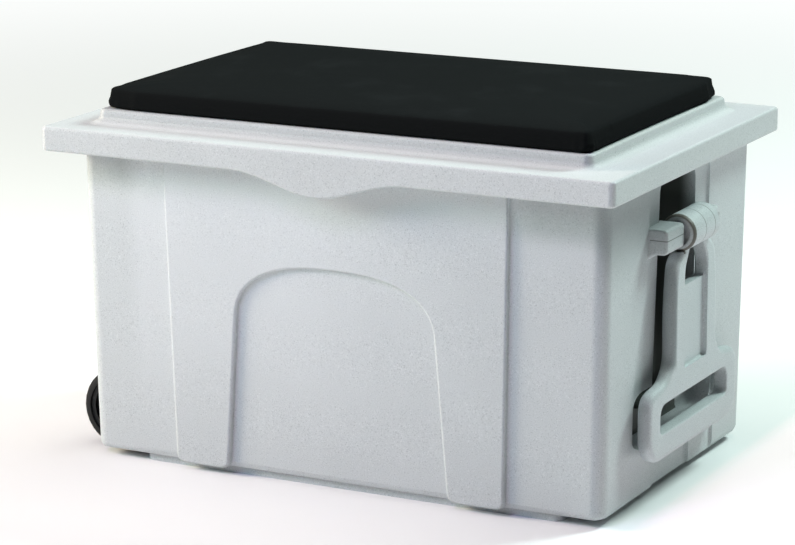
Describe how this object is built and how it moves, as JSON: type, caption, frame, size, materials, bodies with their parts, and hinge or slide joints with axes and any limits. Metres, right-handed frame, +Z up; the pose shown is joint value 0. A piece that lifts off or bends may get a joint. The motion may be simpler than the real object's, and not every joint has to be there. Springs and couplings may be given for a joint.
{
  "type": "fishing seat box",
  "caption": "Moulded fishing seat box: a drafted tub with a hinged overhanging lid and padded seat, a tow handle hung in a recess at one end, and wheels at the other.",
  "frame": {"origin": "on the floor, on the underside of the plinth, under the middle of the lid", "axes": "+X along the length towards the tow handle, -Y towards the front with the finger lip, +Z up"},
  "size_m": [0.6844, 0.454, 0.4187],
  "materials": {
    "tub_plastic": "speckled, lightly grained",
    "lid_plastic": "speckled, lightly grained",
    "handle_plastic": "speckled, lightly grained",
    "seat_fabric": "close-woven matt cloth",
    "board_wood": "bare plywood",
    "steel": "satin stainless",
    "hub_plastic": "moulded, satin",
    "tyre_rubber": "matt rubber"
  },
  "bodies": {
    "tub": {"tub_shell": "tub_plastic", "hinge_tub_leaf_left": "steel", "hinge_tub_leaf_right": "steel", "hinge_pin_left": "steel", "hinge_pin_right": "steel", "hinge_tub_screw_left_1": "steel", "hinge_tub_screw_left_2": "steel", "hinge_tub_screw_left_3": "steel", "hinge_tub_screw_right_1": "steel", "hinge_tub_screw_right_2": "steel", "hinge_tub_screw_right_3": "steel", "handle_pin": "steel", "handle_pin_cap": "steel", "wheel_axle": "steel", "axle_washer_front": "steel", "axle_washer_back": "steel", "axle_cap_front": "steel", "axle_cap_back": "steel"},
    "lid": {"lid_shell": "lid_plastic", "seat_cushion": "seat_fabric", "cushion_board": "board_wood", "cushion_screw_1": "steel", "cushion_screw_2": "steel", "cushion_screw_3": "steel", "cushion_screw_4": "steel", "cushion_screw_5": "steel", "cushion_screw_6": "steel", "hinge_lid_leaf_left": "steel", "hinge_lid_leaf_right": "steel", "hinge_lid_screw_left_1": "steel", "hinge_lid_screw_left_2": "steel", "hinge_lid_screw_left_3": "steel", "hinge_lid_screw_right_1": "steel", "hinge_lid_screw_right_2": "steel", "hinge_lid_screw_right_3": "steel"},
    "tow_handle": {"tow_handle": "handle_plastic"},
    "front_wheel": {"wheel_hub_front": "hub_plastic", "wheel_tyre_front": "tyre_rubber"},
    "back_wheel": {"wheel_hub_back": "hub_plastic", "wheel_tyre_back": "tyre_rubber"}
  },
  "joints": [
    {"name": "lid_hinge", "type": "hinge", "parent": "tub", "child": "lid", "pos_m": [0, 0.2103, 0.3442], "axis": [-1, 0, 0], "range_deg": [0, 95]},
    {"name": "handle_swing", "type": "hinge", "parent": "tub", "child": "tow_handle", "pos_m": [0.3233, 0.0035, 0.2837], "axis": [0, -1, 0], "range_deg": [0, 150]},
    {"name": "front_wheel_spin", "type": "hinge", "parent": "tub", "child": "front_wheel", "pos_m": [-0.2966, -0.1348, 0.0451], "axis": [0, 1, 0], "continuous": true},
    {"name": "back_wheel_spin", "type": "hinge", "parent": "tub", "child": "back_wheel", "pos_m": [-0.2966, 0.154, 0.0451], "axis": [0, 1, 0], "continuous": true}
  ]
}
